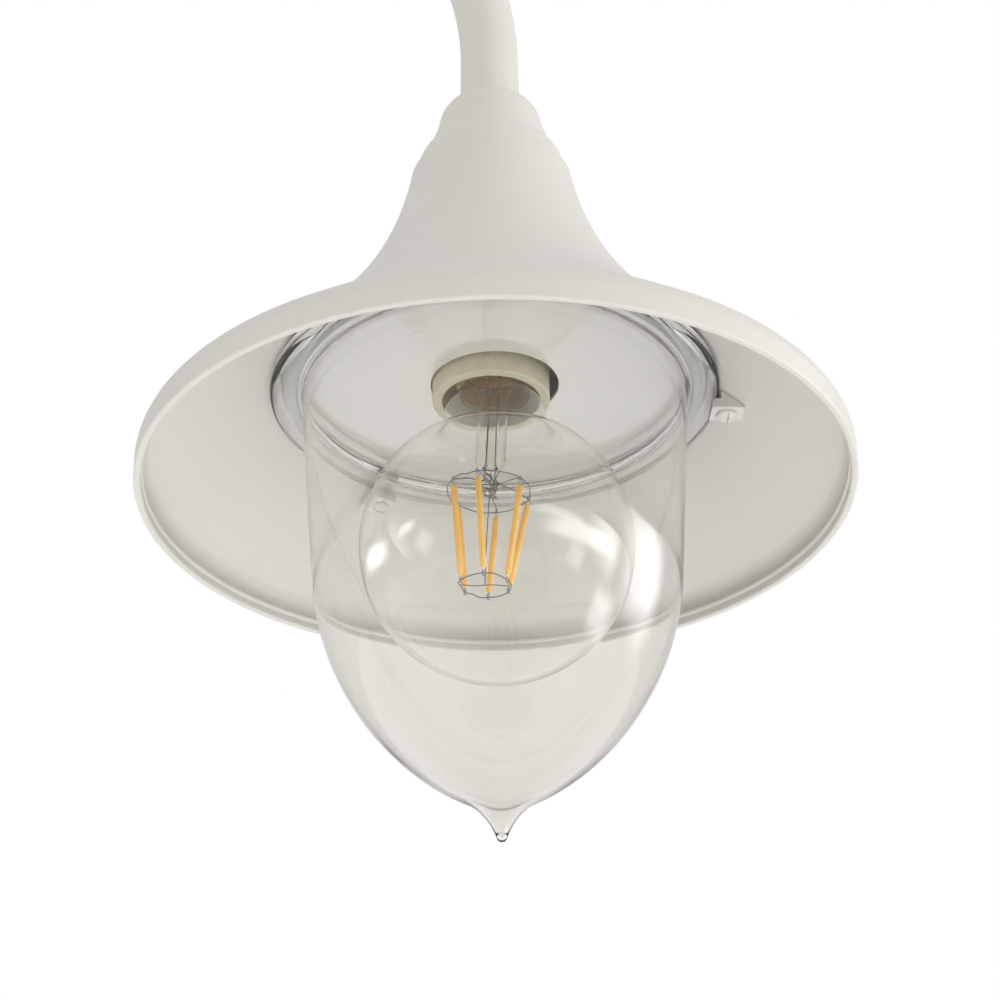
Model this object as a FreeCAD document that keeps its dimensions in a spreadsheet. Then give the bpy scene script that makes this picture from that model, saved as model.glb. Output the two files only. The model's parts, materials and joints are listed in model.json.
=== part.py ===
import FreeCAD, Part
import Sketcher
import math
import os
import re

# Outdoor lamp post: a bolted foot, a stepped post, a swan neck and a hanging bell lamp.
# Origin: centre of the foot on the ground. +Z is up and the lamp hangs on the +X side.
# Heights in the lamp head are taken from the lower edge of its hood. What sits inside the hood
# rises and sinks with the brim, so that the glass flange keeps its seat under it.

# Driving dimensions, in millimetres and degrees, with plain counts.
SIZES = {
    # whole lamp
    "total_height": 2200,
    "crook_radius": 140,
    "tube_od": 21.3,
    "tube_wall": 2,
    "neck_rise": 190.8,
    "fit_gap": 0.15,
    # foot
    "flange_margin": 4,
    "flange_thick": 12,
    "flange_bevel": 2,
    "spigot_height": 30,
    "cable_hole": 32,
    "anchor_circle": 146,
    "anchor_hole": 12,
    "anchor_count": 4,
    "anchor_turn": 45,
    # loose cover over the foot
    "cover_radius": 91,
    "cover_wall": 2.5,
    "cover_lip": 7,
    "cover_shoulder": 4,
    "cover_height": 96,
    "cover_sleeve": 22,
    "cover_curve": 84,
    "cover_play": 0.4,
    "cover_rest": 0.3,
    # post tubes
    "lower_od": 60.3,
    "lower_wall": 2.9,
    "lower_top": 900,
    "upper_od": 42.4,
    "upper_wall": 2.6,
    "upper_top": 1700,
    # collars between the tubes
    "collar_wall": 5,
    "collar_grip": 30,
    "collar_web": 4,
    "collar_rise": 62,
    "collar_band": 14,
    "collar_lip": 1.5,
    "collar_curve": 62,
    "collar_screws": 3,
    "grub_od": 5,
    "grub_key": 2.5,
    "grub_recess": 2.5,
    # hood
    "rim_radius": 125,
    "lip_height": 6.5,
    "lip_round": 9.6,
    "bead_height": 4.2,
    "bead_width": 2.4,
    "bead_curve": 1.3,
    "brim_angle": 38,
    "bell_curve": 149,
    "neck_radius": 29.8,
    "neck_height": 134,
    "hood_wall": 2.5,
    "hood_top": 139.5,
    "hood_shoulder": 6.5,
    "shoulder_inset": 2.6,
    "hood_crown": 3,
    # mouldings above the hood
    "ring_radius": 27.4,
    "ring_top": 150,
    "ring_inset": 4.6,
    "ring_curve": 13,
    "cap_radius": 22,
    "cap_draft": 2.4,
    "cap_side": 161.5,
    "cap_curve": 13,
    "cap_lip": 1,
    "cap_top": 173,
    "cap_web": 5,
    # threaded nipple that carries the lampholder
    "nipple_od": 10,
    "nipple_bore": 7,
    "washer_od": 24,
    "washer_thick": 1.5,
    "nut_across": 14,
    "nut_thick": 4,
    # lampholder
    "holder_mouth": 38,
    "mouth_radius": 17.3,
    "mouth_lip": 3,
    "skirt_radius": 20.7,
    "skirt_wall": 3,
    "skirt_top": 66,
    "flute_count": 40,
    "flute_radius": 0.5,
    "dome_side": 74,
    "dome_curve": 15,
    "dome_top": 88,
    "dome_neck": 8.5,
    "dome_neck_top": 94,
    "dome_wall": 3,
    "core_thick": 7,
    "shell_wall": 0.6,
    "shell_play": 0.4,
    "shell_mouth": 46,
    "tongue_radius": 4,
    "tongue_thick": 1.2,
    "tongue_play": 0.3,
    "terminal_od": 6,
    "terminal_tall": 2.4,
    "terminal_spread": 9,
    # reflector plate and glass
    "seat_height": 43.56,
    "plate_height": 44.6,
    "plate_thick": 1.4,
    "plate_hole": 22.6,
    "plate_play": 0.3,
    "gasket_inner": 69,
    "gasket_outer": 76,
    "glass_flange": 79.5,
    "glass_top": 43,
    "glass_flange_thick": 3.7,
    "glass_flange_round": 2.1,
    "glass_fillet": 2.5,
    "glass_neck": 68,
    "glass_wall": 2.5,
    "belly_start": -32.5,
    "belly_inset": 36.1,
    "belly_height": -25.4,
    "belly_curve": 99.7,
    "belly_end": -111.5,
    "drip_curve": 26,
    "tip_height": -128,
    "tip_long": 2.2,
    "tip_round": 2.3,
    # clips that hold the glass
    "clip_count": 3,
    "clip_turn": 4,
    "clip_width": 9.6,
    "clip_inner": 76.6,
    "clip_bottom": 35.4,
    "clip_play": 0.5,
    "clip_ease": 0.25,
    "clip_bevel": 1,
    "clip_hole": 4.4,
    "screw_circle": 82.4,
    "screw_od": 4,
    "screw_reach": 6.6,
    "screw_head": 3.9,
    "screw_head_tall": 2.2,
    "screw_head_round": 4.2,
    "screw_slot": 1,
    "screw_slot_deep": 1.1,
    # bulb
    "globe_radius": 47.5,
    "globe_height": -20,
    "bulb_glass": 0.8,
    "shoulder_height": 13.2,
    "shoulder_curve": 24,
    "crease_angle": 68,
    "bulb_neck": 18.1,
    "neck_bend": 31,
    "neck_curve": 10.7,
    "neck_grip": 51,
    "cap_shell": 13,
    "cap_shell_wall": 0.4,
    "cap_mouth": 44.2,
    "cap_shoulder": 66,
    "cap_cone": 68.6,
    "cap_eye": 7.5,
    "insulator_end": 69.6,
    "insulator_eye": 5,
    "contact_face": 3,
    "bulb_tip": 70.7,
    "stem_foot": 49,
    "stem_flare": 11.2,
    "stem_waist": 36,
    "stem_curve": 24,
    "stem_radius": 5.3,
    "stem_end": 8,
    "mount_lean": 3,
    # filament cage
    "filament_count": 6,
    "filament_turn": 23,
    "filament_radius": 1.1,
    "upper_ring": 14.5,
    "upper_ring_height": 2,
    "lower_ring": 8.8,
    "lower_ring_height": -34.6,
    "wire_radius": 0.35,
    "lead_count": 2,
}

doc = FreeCAD.newDocument("lamp_post")
sheet = doc.addObject("Spreadsheet::Sheet", "sizes")
for row, (alias, size) in enumerate(SIZES.items(), start=1):
    sheet.set(f"A{row}", alias)
    sheet.set(f"B{row}", str(size))
    sheet.setAlias(f"B{row}", alias)
doc.recompute()
NODES = []
UP_Y = FreeCAD.Vector(0, 1, 0)
UP_Z = FreeCAD.Vector(0, 0, 1)


def bound(formula):
    """The formula with each driving dimension read from the sheet."""
    return re.sub(r"[a-z_]+", lambda word: f"sizes.{word[0]}" if word[0] in SIZES else word[0], formula)


def value(formula):
    """The formula's present value."""
    return float(sheet.evalExpression(bound(formula)))


def tie(item, attribute, formula):
    item.setExpression(attribute, bound(formula))


def new_body(label, x="0", z="0"):
    """A body of its own on a vertical axis at x, raised by z."""
    body = doc.addObject("PartDesign::Body", label)
    body.Label = label
    tie(body, "Placement.Base.x", x)
    tie(body, "Placement.Base.z", z)
    NODES.append(body)
    return body


def origin_item(body, role):
    return next(item for item in body.Origin.OriginFeatures if item.Role == role)


def new_sketch(body, name, plane, offset="0"):
    """A sketch on one of the body's own planes, moved along the plane's normal."""
    sketch = body.newObject("Sketcher::SketchObject", f"{body.Label}_{name}")
    sketch.AttachmentSupport = [(origin_item(body, plane), "")]
    sketch.MapMode = "FlatFace"
    tie(sketch, "AttachmentOffset.Base.z", offset)
    return sketch


def dimension(sketch, kind, geometry, formula):
    index = sketch.addConstraint(Sketcher.Constraint(kind, *geometry, value(formula)))
    tie(sketch, f"Constraints[{index}]", formula)


def pin(sketch, edge, end, across, up):
    """Holds one point of the sketch at its two measures from the sketch's origin."""
    for kind, axis, formula in (("DistanceX", -2, across), ("DistanceY", -1, up)):
        if formula == "0":
            sketch.addConstraint(Sketcher.Constraint("PointOnObject", edge, end, axis))
        else:
            dimension(sketch, kind, (-1, 1, edge, end), formula)


def add_arc(sketch, start, finish, radius, side):
    """An arc with its centre to the left or right of the way from start to finish."""
    chord = finish - start
    rise = math.sqrt(max(radius ** 2 - (chord.Length / 2) ** 2, 0))
    left = FreeCAD.Vector(-chord.y, chord.x, 0).normalize()
    centre = (start + finish) / 2 + left * (rise if side == "left" else -rise)
    ends = (start, finish) if side == "left" else (finish, start)
    angles = [math.atan2(end.y - centre.y, end.x - centre.x) for end in ends]
    circle = Part.Circle(centre, UP_Z, radius)
    return sketch.addGeometry(Part.ArcOfCircle(circle, *angles), False)


def closed_outline(sketch, corners):
    """Joins corners (across, up[, side, radius]); side and radius bend the edge to the next corner."""
    points = [FreeCAD.Vector(value(corner[0]), value(corner[1]), 0) for corner in corners]
    edges = []
    for index, corner in enumerate(corners):
        start = points[index]
        finish = points[(index + 1) % len(points)]
        if len(corner) == 2:
            edge = sketch.addGeometry(Part.LineSegment(start, finish), False)
            edges.append((edge, 1, 2))
        else:
            edge = add_arc(sketch, start, finish, value(corner[3]), corner[2])
            edges.append((edge, 1, 2) if corner[2] == "left" else (edge, 2, 1))
    for index, (edge, first, last) in enumerate(edges):
        following, start, _ = edges[(index + 1) % len(edges)]
        sketch.addConstraint(Sketcher.Constraint("Coincident", edge, last, following, start))
    for (edge, first, last), corner in zip(edges, corners):
        pin(sketch, edge, first, corner[0], corner[1])
        if len(corner) == 4:
            dimension(sketch, "Radius", (edge,), corner[3])


def circles(sketch, *rounds):
    """Circles given as (across, up, radius)."""
    for across, up, radius in rounds:
        place = FreeCAD.Vector(value(across), value(up), 0)
        edge = sketch.addGeometry(Part.Circle(place, UP_Z, value(radius)), False)
        if across == up == "0":
            sketch.addConstraint(Sketcher.Constraint("Coincident", edge, 3, -1, 1))
        else:
            pin(sketch, edge, 3, across, up)
        dimension(sketch, "Radius", (edge,), radius)


def hexagon(sketch, across_flats, across, up):
    """Corners of a hexagon, from its width across flats."""
    corners = []
    for angle in range(30, 390, 60):
        reach = f"{across_flats} / 2 / cos(30)"
        corners.append((f"{across} + {reach} * cos({angle})", f"{up} + {reach} * sin({angle})"))
    closed_outline(sketch, corners)


def feature(body, kind, name, sketch, length=None):
    """A sketch-based feature that becomes the body's tip."""
    item = body.newObject(f"PartDesign::{kind}", f"{body.Label}_{name}")
    item.Profile = sketch
    if length is not None:
        tie(item, "Length", length)
    body.Tip = item
    return item


def turn(body, name, corners, axis="V_Axis"):
    """Turns an outline of (radius, height) corners about the body's vertical axis."""
    sketch = new_sketch(body, f"{name}_outline", "XZ_Plane")
    closed_outline(sketch, corners)
    item = feature(body, "Revolution", name, sketch)
    item.ReferenceAxis = (sketch, [axis])
    item.Angle = 360
    doc.recompute()
    return item


def around(body, features, count):
    """Repeats features evenly about the body's vertical axis."""
    doc.recompute()
    pattern = body.newObject("PartDesign::PolarPattern", f"{body.Label}_{features[0].Name}_ring")
    pattern.Originals = features
    pattern.Axis = (origin_item(body, "Z_Axis"), [""])
    pattern.Angle = 360
    body.Tip = pattern
    tie(pattern, "Occurrences", count)
    doc.recompute()
    return pattern


def tube(label, outer, wall, bottom, top):
    body = new_body(label)
    inner = f"{outer} / 2 - {wall}"
    turn(body, "wall", [(inner, bottom), (f"{outer} / 2", bottom), (f"{outer} / 2", top), (inner, top)])
    return body


# Foot: a steel flange whose spigot fills the lower end of the post.
SPIGOT = "(lower_od / 2 - lower_wall - fit_gap)"
SPIGOT_TOP = "flange_thick + spigot_height"


def ground_flange():
    body = new_body("ground_flange")
    edge = "cover_radius + flange_margin"
    turn(body, "disc", [
        ("cable_hole / 2", "0"),
        (edge, "0"),
        (edge, "flange_thick - flange_bevel"),
        (f"{edge} - flange_bevel", "flange_thick"),
        (SPIGOT, "flange_thick"),
        (SPIGOT, SPIGOT_TOP),
        ("cable_hole / 2", SPIGOT_TOP),
    ])
    sketch = new_sketch(body, "anchor_outline", "XY_Plane", "flange_thick")
    reach = "anchor_circle / 2"
    circles(sketch, (f"{reach} * cos(anchor_turn)", f"{reach} * sin(anchor_turn)", "anchor_hole / 2"))
    hole = feature(body, "Pocket", "anchor", sketch, "flange_thick")
    around(body, [hole], "anchor_count")


# Cover: a spun bell that rests on the flange, hides the anchors and slides up the post.
COVER_BASE = "flange_thick + cover_rest"
COVER_BORE = "(lower_od / 2 + cover_play)"
COVER_LIP_TOP = f"{COVER_BASE} + cover_lip"
COVER_TOP = f"{COVER_BASE} + cover_height"
COVER_NECK = f"{COVER_TOP} - cover_sleeve"


def base_cover():
    body = new_body("base_cover")
    inner = "cover_radius - cover_wall"
    shoulder = "cover_radius - cover_shoulder"
    turn(body, "shell", [
        (inner, COVER_BASE),
        ("cover_radius", COVER_BASE),
        ("cover_radius", COVER_LIP_TOP),
        (shoulder, f"{COVER_LIP_TOP} + cover_shoulder", "right", "cover_curve"),
        (f"{COVER_BORE} + cover_wall", COVER_NECK),
        (f"{COVER_BORE} + cover_wall", COVER_TOP),
        (COVER_BORE, COVER_TOP),
        (COVER_BORE, f"{COVER_NECK} - cover_wall / 2", "left", "cover_curve + cover_wall"),
        (f"{shoulder} - cover_wall / 3", f"{COVER_LIP_TOP} + cover_shoulder - cover_wall"),
        (inner, f"{COVER_LIP_TOP} - cover_wall / 3"),
    ])


# Collars: cast sleeves that join a wide tube to the narrower one above it.
def collar(label, below, above, above_wall, seat):
    """Sleeve over the tube below, whose top is at seat, and round the tube above."""
    body = new_body(label)
    low_bore = f"({below} / 2 + fit_gap)"
    high_bore = f"({above} / 2 + fit_gap)"
    skirt = f"{low_bore} + collar_wall"
    sleeve = f"{high_bore} + collar_wall"
    ledge = f"{seat} + collar_web"
    top = f"{ledge} + collar_rise"
    turn(body, "sleeve", [
        (low_bore, f"{seat} - collar_grip"),
        (skirt, f"{seat} - collar_grip"),
        (skirt, ledge, "right", "collar_curve"),
        (sleeve, f"{top} - collar_band"),
        (f"{sleeve} + collar_lip", f"{top} - collar_band"),
        (f"{sleeve} + collar_lip", f"{top} - collar_lip"),
        (sleeve, top),
        (high_bore, top),
        (high_bore, ledge),
        (f"{above} / 2 - {above_wall}", ledge),
        (f"{above} / 2 - {above_wall}", seat),
        (low_bore, seat),
    ])
    rows = [
        (f"{below} / 2", skirt, f"{seat} - collar_grip / 2"),
        (f"{above} / 2", f"{sleeve} + collar_lip", f"{top} - collar_band / 2"),
    ]
    for number, (_, face, height) in enumerate(rows):
        sketch = new_sketch(body, f"grub_hole_outline_{number}", "YZ_Plane", f"{face} + collar_lip")
        circles(sketch, ("0", height, "grub_od / 2 + fit_gap / 2"))
        hole = feature(body, "Pocket", f"grub_hole_{number}", sketch, "collar_wall + 3 * collar_lip")
        around(body, [hole], "collar_screws")
    grub_screws(f"{label}_screws", rows, "collar_screws")


def grub_screws(label, rows, count):
    """Grub screws from the tube's face out to the sleeve's face, one ring for each row."""
    body = new_body(label)
    for number, (start, face, height) in enumerate(rows):
        sketch = new_sketch(body, f"shank_outline_{number}", "YZ_Plane", start)
        circles(sketch, ("0", height, "grub_od / 2"))
        shank = feature(body, "Pad", f"shank_{number}", sketch, f"{face} - {start}")
        around(body, [shank], count)
        sketch = new_sketch(body, f"key_outline_{number}", "YZ_Plane", face)
        hexagon(sketch, "grub_key", "0", height)
        key = feature(body, "Pocket", f"key_{number}", sketch, "grub_recess")
        around(body, [key], count)


# Swan neck: one bent tube from the upper collar over to the lamp head.
HEAD_X = "2 * crook_radius"
BEND_HEIGHT = "(total_height - tube_od / 2 - crook_radius)"
HEAD_Z = f"({BEND_HEIGHT} - neck_rise)"
TUBE_SEAT = "(ring_top + cap_web)"


def swan_neck():
    body = new_body("swan_neck")
    start = "upper_top + collar_web"
    ring = new_sketch(body, "ring_outline", "XY_Plane", start)
    circles(ring, ("0", "0", "tube_od / 2"), ("0", "0", "tube_od / 2 - tube_wall"))
    path = new_sketch(body, "path", "XZ_Plane")
    points = [("0", start), ("0", BEND_HEIGHT), (HEAD_X, BEND_HEIGHT), (HEAD_X, f"{HEAD_Z} + {TUBE_SEAT}")]
    foot, rise, fall, mouth = [FreeCAD.Vector(value(x), value(z), 0) for x, z in points]
    centre = (rise + fall) / 2
    bow = Part.Circle(centre, UP_Z, value("crook_radius"))
    up = path.addGeometry(Part.LineSegment(foot, rise), False)
    over = path.addGeometry(Part.ArcOfCircle(bow, 0, math.pi), False)
    down = path.addGeometry(Part.LineSegment(fall, mouth), False)
    pin(path, up, 1, *points[0])
    pin(path, up, 2, *points[1])
    pin(path, down, 1, *points[2])
    pin(path, down, 2, *points[3])
    path.addConstraint(Sketcher.Constraint("Tangent", up, 2, over, 2))
    path.addConstraint(Sketcher.Constraint("Coincident", over, 1, down, 1))
    doc.recompute()
    pipe = feature(body, "AdditivePipe", "pipe", ring)
    pipe.Spine = path
    doc.recompute()


def head_body(label):
    """A body of the lamp head: its axis hangs under the swan neck, its zero is the hood's lower edge."""
    return new_body(label, HEAD_X, HEAD_Z)


# Hood: lip with a bead inside, conical brim and a bell whose curve meets the brim without a break.
BRIM_REACH = "((rim_radius - lip_round) * sin(brim_angle) + lip_height * cos(brim_angle) + lip_round)"
NECK_ACROSS = "(neck_radius * sin(brim_angle) + neck_height * cos(brim_angle))"
NECK_ALONG = "(neck_radius * cos(brim_angle) - neck_height * sin(brim_angle))"
BELL_ALONG = f"({NECK_ALONG} + sqrt(bell_curve ^ 2 - ({BRIM_REACH} + bell_curve - {NECK_ACROSS}) ^ 2))"
BELL_CENTRE_R = f"(({BRIM_REACH} + bell_curve) * sin(brim_angle) + {BELL_ALONG} * cos(brim_angle))"
BELL_CENTRE_Z = f"(({BRIM_REACH} + bell_curve) * cos(brim_angle) - {BELL_ALONG} * sin(brim_angle))"
CROWN_UNDER = "(hood_top - hood_crown)"
NIPPLE_HOLE = "(nipple_od / 2 + fit_gap)"
SCREW_TIP = "(clip_bottom + screw_reach)"
BRIM_OVER_FLANGE = f"(({BRIM_REACH} - hood_wall - glass_flange * sin(brim_angle)) / cos(brim_angle))"
LIFT = f"({BRIM_OVER_FLANGE} - seat_height)"


def lamp_body(label):
    """A body inside the hood, lifted with the brim's height over the glass flange."""
    return new_body(label, HEAD_X, f"{HEAD_Z} + {LIFT}")


def lip_end(inset):
    """Where the lip's round runs into the brim, for a face set in from the outside."""
    across = f"rim_radius - lip_round + (lip_round - {inset}) * sin(brim_angle)"
    return across, f"lip_height + (lip_round - {inset}) * cos(brim_angle)"


def bell_start(inset):
    """Where the brim runs into the bell, for a face set in from the outside."""
    across = f"({BRIM_REACH} - {inset}) * sin(brim_angle) + {BELL_ALONG} * cos(brim_angle)"
    return across, f"({BRIM_REACH} - {inset}) * cos(brim_angle) - {BELL_ALONG} * sin(brim_angle)"


def brim_inside(height):
    """Radius of the brim's inner face at a height inside the hood."""
    return f"(({BRIM_REACH} - hood_wall - ({height} + {LIFT}) * cos(brim_angle)) / sin(brim_angle))"


def hood():
    body = head_body("hood")
    inner_bell = f"sqrt((bell_curve + hood_wall) ^ 2 - ({BELL_CENTRE_Z} - {CROWN_UNDER}) ^ 2)"
    turn(body, "shell", [
        ("rim_radius - hood_wall", "0"),
        ("rim_radius", "0"),
        ("rim_radius", "lip_height", "left", "lip_round"),
        lip_end("0"),
        (*bell_start("0"), "right", "bell_curve"),
        ("neck_radius", "neck_height", "left", "hood_shoulder"),
        ("neck_radius - shoulder_inset", "hood_top"),
        (NIPPLE_HOLE, "hood_top"),
        (NIPPLE_HOLE, CROWN_UNDER),
        (f"{BELL_CENTRE_R} - {inner_bell}", CROWN_UNDER, "left", "bell_curve + hood_wall"),
        bell_start("hood_wall"),
        (*lip_end("hood_wall"), "right", "lip_round - hood_wall"),
        ("rim_radius - hood_wall", "lip_height"),
        ("rim_radius - hood_wall", "bead_height + bead_width / 2", "left", "bead_curve"),
        ("rim_radius - hood_wall", "bead_height - bead_width / 2"),
    ])
    sketch = new_sketch(body, "screw_hole_outline", "XY_Plane", f"{SCREW_TIP} + {LIFT} + fit_gap")
    circles(sketch, (
        "screw_circle * cos(clip_turn)",
        "screw_circle * sin(clip_turn)",
        "screw_od / 2 + fit_gap / 2",
    ))
    hole = feature(body, "Pocket", "screw_hole", sketch, "screw_reach + fit_gap")
    around(body, [hole], "clip_count")


def neck_ring():
    body = head_body("neck_ring")
    turn(body, "moulding", [
        (NIPPLE_HOLE, "hood_top"),
        ("ring_radius", "hood_top", "left", "ring_curve"),
        ("ring_radius - ring_inset", "ring_top"),
        (NIPPLE_HOLE, "ring_top"),
    ])


def neck_cap():
    """Cap over the tube's end, with a grub screw at its back."""
    body = head_body("neck_cap")
    bore = "tube_od / 2 + fit_gap"
    turn(body, "dome", [
        (NIPPLE_HOLE, "ring_top"),
        ("cap_radius", "ring_top"),
        ("cap_radius - cap_draft", "cap_side", "left", "cap_curve"),
        (f"{bore} + cap_lip", "cap_top - cap_lip"),
        (f"{bore} + cap_lip", "cap_top"),
        (bore, "cap_top"),
        (bore, TUBE_SEAT),
        (NIPPLE_HOLE, TUBE_SEAT),
    ])
    height = f"({TUBE_SEAT} + cap_side) / 2"
    face = "cap_radius - cap_draft"
    sketch = new_sketch(body, "screw_hole_outline", "XZ_Plane", "-cap_radius - cap_lip")
    circles(sketch, ("0", height, "grub_od / 2 + fit_gap / 2"))
    hole = feature(body, "Pocket", "screw_hole", sketch, f"cap_radius + cap_lip - ({bore}) + fit_gap")
    hole.Reversed = True
    doc.recompute()
    screw = head_body("cap_screw")
    sketch = new_sketch(screw, "shank_outline", "XZ_Plane", "-tube_od / 2")
    circles(sketch, ("0", height, "grub_od / 2"))
    shank = feature(screw, "Pad", "shank", sketch, f"{face} - tube_od / 2")
    shank.Reversed = True
    doc.recompute()
    sketch = new_sketch(screw, "key_outline", "XZ_Plane", f"-({face})")
    hexagon(sketch, "grub_key", "0", height)
    key = feature(screw, "Pocket", "key", sketch, "grub_recess")
    key.Reversed = True
    doc.recompute()


# Nipple: a threaded tube through cap, moulding and hood, down to the lampholder.
NIPPLE_FOOT = "(dome_top - dome_wall)"


def nipple():
    body = head_body("nipple")
    turn(body, "tube", [
        ("nipple_bore / 2", f"{NIPPLE_FOOT} + {LIFT}"),
        ("nipple_od / 2", f"{NIPPLE_FOOT} + {LIFT}"),
        ("nipple_od / 2", TUBE_SEAT),
        ("nipple_bore / 2", TUBE_SEAT),
    ])
    washer = head_body("nipple_washer")
    washer_under = f"{CROWN_UNDER} - washer_thick"
    turn(washer, "disc", [
        (NIPPLE_HOLE, washer_under),
        ("washer_od / 2", washer_under),
        ("washer_od / 2", CROWN_UNDER),
        (NIPPLE_HOLE, CROWN_UNDER),
    ])
    nut = head_body("nipple_nut")
    sketch = new_sketch(nut, "hexagon", "XY_Plane", f"{washer_under} - nut_thick")
    hexagon(sketch, "nut_across", "0", "0")
    circles(sketch, ("0", "0", "nipple_od / 2 + fit_gap / 2"))
    feature(nut, "Pad", "prism", sketch, "nut_thick")
    doc.recompute()


# Lampholder: fluted skirt and dome round a ceramic core with the screw shell and contact.
CORE_UNDER = "(bulb_tip + tongue_play + tongue_thick)"
CORE_TOP = f"({CORE_UNDER} + core_thick)"
SKIRT_BORE = "(skirt_radius - skirt_wall)"
SHELL_BORE = "(cap_shell + shell_play)"


def lampholder():
    skirt = lamp_body("holder_skirt")
    turn(skirt, "sleeve", [
        ("mouth_radius", "holder_mouth"),
        ("skirt_radius", "holder_mouth"),
        ("skirt_radius", "skirt_top"),
        (SKIRT_BORE, "skirt_top"),
        (SKIRT_BORE, "holder_mouth + mouth_lip"),
        ("mouth_radius", "holder_mouth + mouth_lip / 2"),
    ])
    sketch = new_sketch(skirt, "flute_outline", "XY_Plane", "skirt_top")
    circles(sketch, ("skirt_radius + flute_radius / 3", "0", "flute_radius"))
    flute = feature(skirt, "Pocket", "flute", sketch, "skirt_top - holder_mouth")
    around(skirt, [flute], "flute_count")

    dome = lamp_body("holder_dome")
    turn(dome, "shell", [
        (SKIRT_BORE, "skirt_top"),
        ("skirt_radius", "skirt_top"),
        ("skirt_radius", "dome_side", "left", "dome_curve"),
        ("dome_neck", "dome_top"),
        ("dome_neck", "dome_neck_top"),
        ("nipple_od / 2 + fit_gap / 2", "dome_neck_top"),
        ("nipple_od / 2 + fit_gap / 2", NIPPLE_FOOT),
        ("dome_neck", NIPPLE_FOOT, "right", "dome_curve - dome_wall"),
        (SKIRT_BORE, "dome_side"),
    ])

    core = lamp_body("holder_core")
    turn(core, "disc", [
        ("0", CORE_UNDER),
        (f"{SKIRT_BORE} - fit_gap", CORE_UNDER),
        (f"{SKIRT_BORE} - fit_gap", "dome_side"),
        ("terminal_spread + terminal_od / 2", CORE_TOP),
        ("0", CORE_TOP),
    ])

    shell = lamp_body("screw_shell")
    outside = f"{SHELL_BORE} + shell_wall"
    turn(shell, "sleeve", [
        (SHELL_BORE, "shell_mouth"),
        (outside, "shell_mouth"),
        (outside, CORE_UNDER),
        (SHELL_BORE, CORE_UNDER),
    ])

    tongue = lamp_body("centre_contact")
    turn(tongue, "disc", [
        ("0", f"{CORE_UNDER} - tongue_thick"),
        ("tongue_radius", f"{CORE_UNDER} - tongue_thick"),
        ("tongue_radius", CORE_UNDER),
        ("0", CORE_UNDER),
    ])

    terminals = lamp_body("terminal_screws")
    sketch = new_sketch(terminals, "head_outline", "XY_Plane", CORE_TOP)
    for side in ("terminal_spread", "-terminal_spread"):
        circles(sketch, (side, "0", "terminal_od / 2"))
    feature(terminals, "Pad", "heads", sketch, "terminal_tall")
    doc.recompute()


# Reflector plate, gasket and glass: stacked under the brim and held up by the clips.
PLATE_TOP = "(plate_height + plate_thick)"
FLANGE_UNDER = "(glass_top - glass_flange_thick)"


def reflector_plate():
    """Plate whose bevelled edge seats in the brim, with a round hole for the lampholder."""
    body = lamp_body("reflector_plate")
    turn(body, "plate", [
        ("plate_hole", "plate_height"),
        (f"{brim_inside('plate_height')} - plate_play", "plate_height"),
        (f"{brim_inside(PLATE_TOP)} - plate_play", PLATE_TOP),
        ("plate_hole", PLATE_TOP),
    ])


def glass_gasket():
    body = lamp_body("glass_gasket")
    turn(body, "ring", [
        ("gasket_inner", "glass_top"),
        ("gasket_outer", "glass_top"),
        ("gasket_outer", "plate_height"),
        ("gasket_inner", "plate_height"),
    ])


def belly(height, inset):
    """Radius of the glass belly at a height, for a face set in from the outside."""
    return f"sqrt((belly_curve - {inset}) ^ 2 - (({height}) - belly_height) ^ 2) - belly_inset"


def glass_shade():
    """Blown glass: flanged mouth, nearly straight wall, ogive belly and a drawn drip tip."""
    body = lamp_body("glass_shade")
    cavity_end = "belly_height - sqrt((belly_curve - glass_wall) ^ 2 - belly_inset ^ 2)"
    flange_edge = "glass_flange - glass_flange_round / 2"
    drip_start = belly("belly_end", "0")
    drip_r = f"({drip_start} + drip_curve * ({drip_start} + belly_inset) / belly_curve)"
    drip_z = "(belly_end - drip_curve * (belly_height - belly_end) / belly_curve)"
    tip = f"{drip_r} - sqrt(drip_curve ^ 2 - (tip_height - {drip_z}) ^ 2)"
    turn(body, "glass", [
        ("glass_neck - glass_wall", "glass_top"),
        (flange_edge, "glass_top", "right", "glass_flange_round"),
        (flange_edge, FLANGE_UNDER),
        ("glass_neck + glass_fillet", FLANGE_UNDER, "left", "glass_fillet"),
        ("glass_neck", f"{FLANGE_UNDER} - glass_fillet"),
        (belly("belly_start", "0"), "belly_start", "right", "belly_curve"),
        (drip_start, "belly_end", "left", "drip_curve"),
        (tip, "tip_height", "right", "tip_round"),
        ("0", "tip_height - tip_long"),
        ("0", cavity_end, "left", "belly_curve - glass_wall"),
        (belly("belly_start", "glass_wall"), "belly_start"),
    ])


# Clips: flat-sided wedges, eased off the round brim, whose noses carry the glass flange.
def clip_outline():
    inner_face = "glass_flange + clip_play"
    wedge_top = "seat_height - (clip_play + clip_ease) * tan(brim_angle)"
    toe = f"{brim_inside('clip_bottom + clip_bevel')} - clip_ease"
    return [
        ("clip_inner", "clip_bottom"),
        (toe, "clip_bottom"),
        (toe, "clip_bottom + clip_bevel"),
        (inner_face, wedge_top),
        (inner_face, FLANGE_UNDER),
        ("clip_inner + clip_bevel", FLANGE_UNDER),
        ("clip_inner", f"{FLANGE_UNDER} - clip_bevel"),
    ]


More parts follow.
